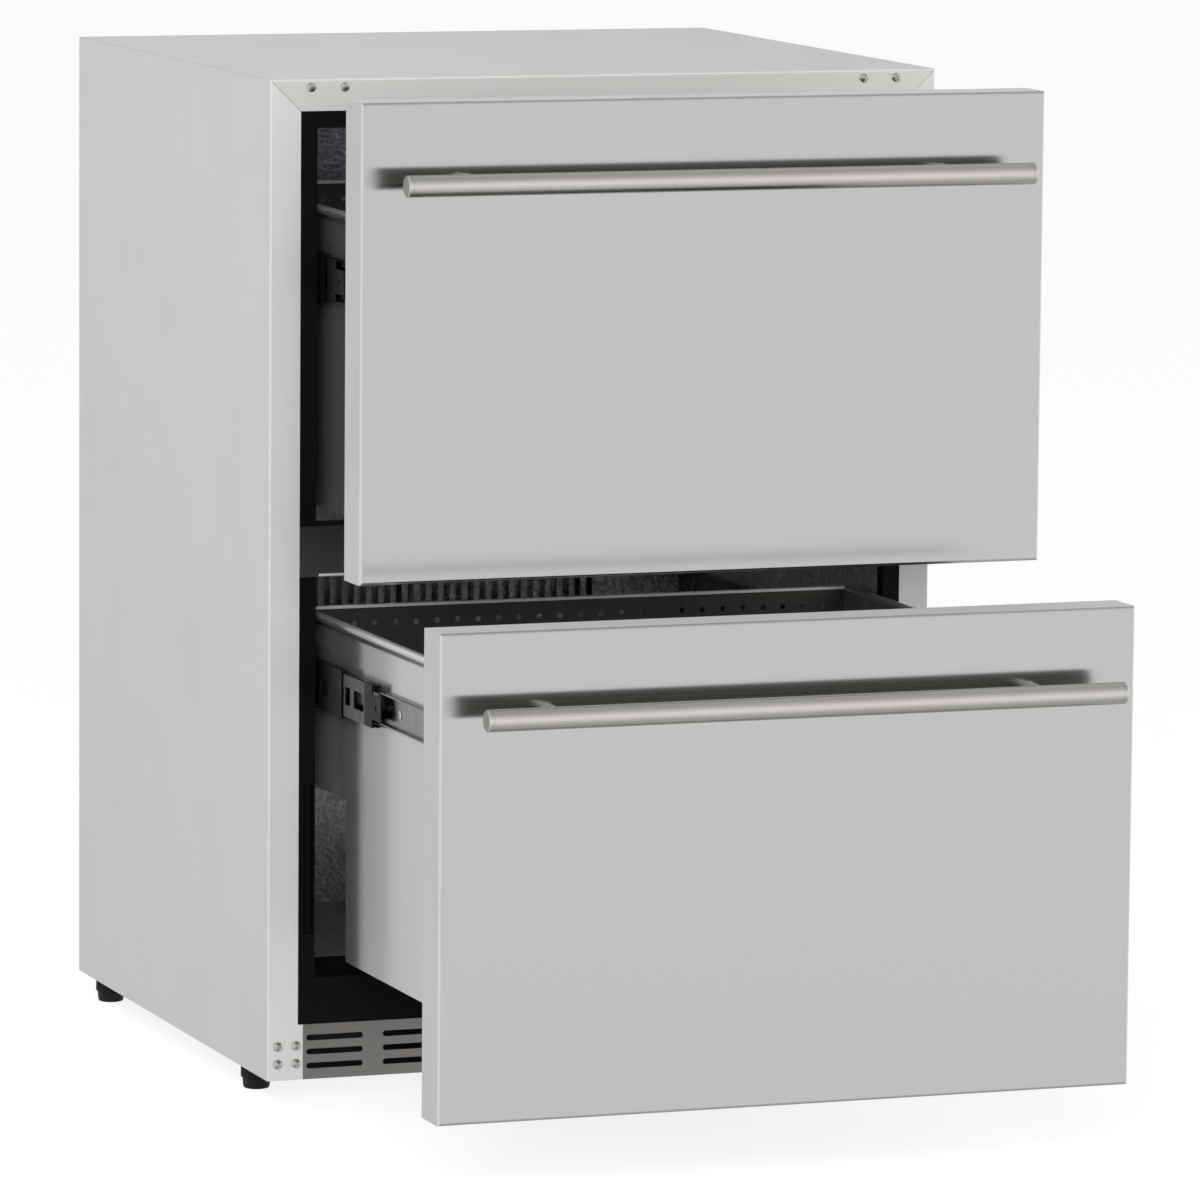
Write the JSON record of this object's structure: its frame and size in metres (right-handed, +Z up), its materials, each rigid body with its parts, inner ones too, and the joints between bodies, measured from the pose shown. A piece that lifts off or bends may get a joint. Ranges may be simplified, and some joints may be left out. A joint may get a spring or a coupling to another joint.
{
  "type": "undercounter drawer refrigerator",
  "caption": "Stainless undercounter refrigerator with an upper and a lower full-width drawer on telescopic ball slides, bar handles, a vented kick grille and levelling feet.",
  "frame": {"origin": "on the floor, under the middle of the box around the cabinet and its opened drawers", "axes": "+X to the right seen from the front, +Y to the back, +Z up; the drawers open along -Y"},
  "size_m": [0.6, 1.0652, 0.872],
  "materials": {
    "stainless": "fine vertical brushing",
    "handle_steel": "satin, brushed along the bar",
    "shaded_stainless": "brushed, seen in shade",
    "zinc_plated": "zinc plated, satin",
    "embossed_liner": "stucco embossed",
    "foam": "matte rigid foam",
    "black_plastic": "matte",
    "grey_plastic": "matte",
    "pale_plastic": "satin",
    "white_plastic": "semi-gloss",
    "seal_rubber": "soft matte",
    "coil_aluminium": "mill finish",
    "black_painted_steel": "semi-gloss paint",
    "copper": "dull copper tube"
  },
  "bodies": {
    "cabinet": {"cabinet_side_left": "stainless", "cabinet_side_right": "stainless", "cabinet_top": "stainless", "cabinet_back": "zinc_plated", "base_pan": "zinc_plated", "compartment_plate": "zinc_plated", "cabinet_foam": "foam", "liner": "embossed_liner", "breaker_frame": "black_plastic", "middle_rail": "shaded_stainless", "kick_grille": "shaded_stainless", "frame_screws": "zinc_plated", "rear_cover": "zinc_plated", "air_duct_cover": "embossed_liner", "evaporator": "coil_aluminium", "evaporator_fan_motor": "grey_plastic", "drain_tube": "white_plastic", "compressor": "black_painted_steel", "compressor_grommets": "seal_rubber", "control_box": "grey_plastic", "condenser": "black_painted_steel", "condenser_fan_shroud": "black_painted_steel", "refrigerant_lines": "copper", "drip_tray": "black_plastic", "interior_light": "white_plastic", "power_inlet": "black_plastic", "slide_outer_members": "zinc_plated", "slide_wall_screws": "zinc_plated"},
    "upper_drawer": {"upper_front_skin": "stainless", "upper_front_foam": "foam", "upper_front_inner": "pale_plastic", "upper_gasket": "seal_rubber", "upper_drawer_box": "stainless", "upper_handle_bar": "handle_steel", "upper_handle_posts": "handle_steel", "upper_drawer_screws": "zinc_plated", "upper_slide_inner": "zinc_plated"},
    "upper_middle_members": {"upper_slide_middle": "zinc_plated", "upper_slide_stops": "black_plastic"},
    "upper_outer_cage_pair": {"upper_outer_cages": "black_plastic"},
    "upper_inner_cage_pair": {"upper_inner_cages": "black_plastic"},
    "lower_drawer": {"lower_front_skin": "stainless", "lower_front_foam": "foam", "lower_front_inner": "pale_plastic", "lower_gasket": "seal_rubber", "lower_drawer_box": "stainless", "lower_handle_bar": "handle_steel", "lower_handle_posts": "handle_steel", "lower_drawer_screws": "zinc_plated", "lower_slide_inner": "zinc_plated"},
    "lower_middle_members": {"lower_slide_middle": "zinc_plated", "lower_slide_stops": "black_plastic"},
    "lower_outer_cage_pair": {"lower_outer_cages": "black_plastic"},
    "lower_inner_cage_pair": {"lower_inner_cages": "black_plastic"},
    "evaporator_fan": {"evaporator_fan_blade": "black_plastic"},
    "condenser_fan": {"condenser_fan_blade": "grey_plastic"},
    "front_left_foot": {"foot_front_left": "black_plastic"},
    "front_right_foot": {"foot_front_right": "black_plastic"},
    "back_left_foot": {"foot_back_left": "black_plastic"},
    "back_right_foot": {"foot_back_right": "black_plastic"}
  },
  "joints": [
    {"name": "upper_drawer_slide", "type": "slide", "parent": "cabinet", "child": "upper_drawer", "axis": [0, -1, 0], "range_m": [-0.198, 0.222]},
    {"name": "upper_middle_member_slide", "type": "slide", "parent": "cabinet", "child": "upper_middle_members", "axis": [0, -1, 0], "range_m": [-0.099, 0.111]},
    {"name": "upper_outer_cage_roll", "type": "slide", "parent": "cabinet", "child": "upper_outer_cage_pair", "axis": [0, -1, 0], "range_m": [-0.0495, 0.0555]},
    {"name": "upper_inner_cage_roll", "type": "slide", "parent": "cabinet", "child": "upper_inner_cage_pair", "axis": [0, -1, 0], "range_m": [-0.1485, 0.1665]},
    {"name": "lower_drawer_slide", "type": "slide", "parent": "cabinet", "child": "lower_drawer", "axis": [0, -1, 0], "range_m": [-0.403, 0.017]},
    {"name": "lower_middle_member_slide", "type": "slide", "parent": "cabinet", "child": "lower_middle_members", "axis": [0, -1, 0], "range_m": [-0.2015, 0.0085]},
    {"name": "lower_outer_cage_roll", "type": "slide", "parent": "cabinet", "child": "lower_outer_cage_pair", "axis": [0, -1, 0], "range_m": [-0.10075, 0.00425]},
    {"name": "lower_inner_cage_roll", "type": "slide", "parent": "cabinet", "child": "lower_inner_cage_pair", "axis": [0, -1, 0], "range_m": [-0.30225, 0.01275]},
    {"name": "evaporator_fan_spin", "type": "hinge", "parent": "cabinet", "child": "evaporator_fan", "pos_m": [0, 0.4561, 0.7], "axis": [0, 1, 0], "continuous": true},
    {"name": "condenser_fan_spin", "type": "hinge", "parent": "cabinet", "child": "condenser_fan", "pos_m": [-0.163, 0.4474, 0.095], "axis": [1, 0, 0], "continuous": true},
    {"name": "front_left_foot_screw", "type": "slide", "parent": "cabinet", "child": "front_left_foot", "axis": [0, 0, -1], "range_m": [0, 0.02]},
    {"name": "front_right_foot_screw", "type": "slide", "parent": "cabinet", "child": "front_right_foot", "axis": [0, 0, -1], "range_m": [0, 0.02]},
    {"name": "back_left_foot_screw", "type": "slide", "parent": "cabinet", "child": "back_left_foot", "axis": [0, 0, -1], "range_m": [0, 0.02]},
    {"name": "back_right_foot_screw", "type": "slide", "parent": "cabinet", "child": "back_right_foot", "axis": [0, 0, -1], "range_m": [0, 0.02]}
  ],
  "couplings": [
    {"joint": "upper_middle_member_slide", "follows": "upper_drawer_slide", "ratio": 0.5},
    {"joint": "upper_outer_cage_roll", "follows": "upper_drawer_slide", "ratio": 0.25},
    {"joint": "upper_inner_cage_roll", "follows": "upper_drawer_slide", "ratio": 0.75},
    {"joint": "lower_middle_member_slide", "follows": "lower_drawer_slide", "ratio": 0.5},
    {"joint": "lower_outer_cage_roll", "follows": "lower_drawer_slide", "ratio": 0.25},
    {"joint": "lower_inner_cage_roll", "follows": "lower_drawer_slide", "ratio": 0.75}
  ]
}
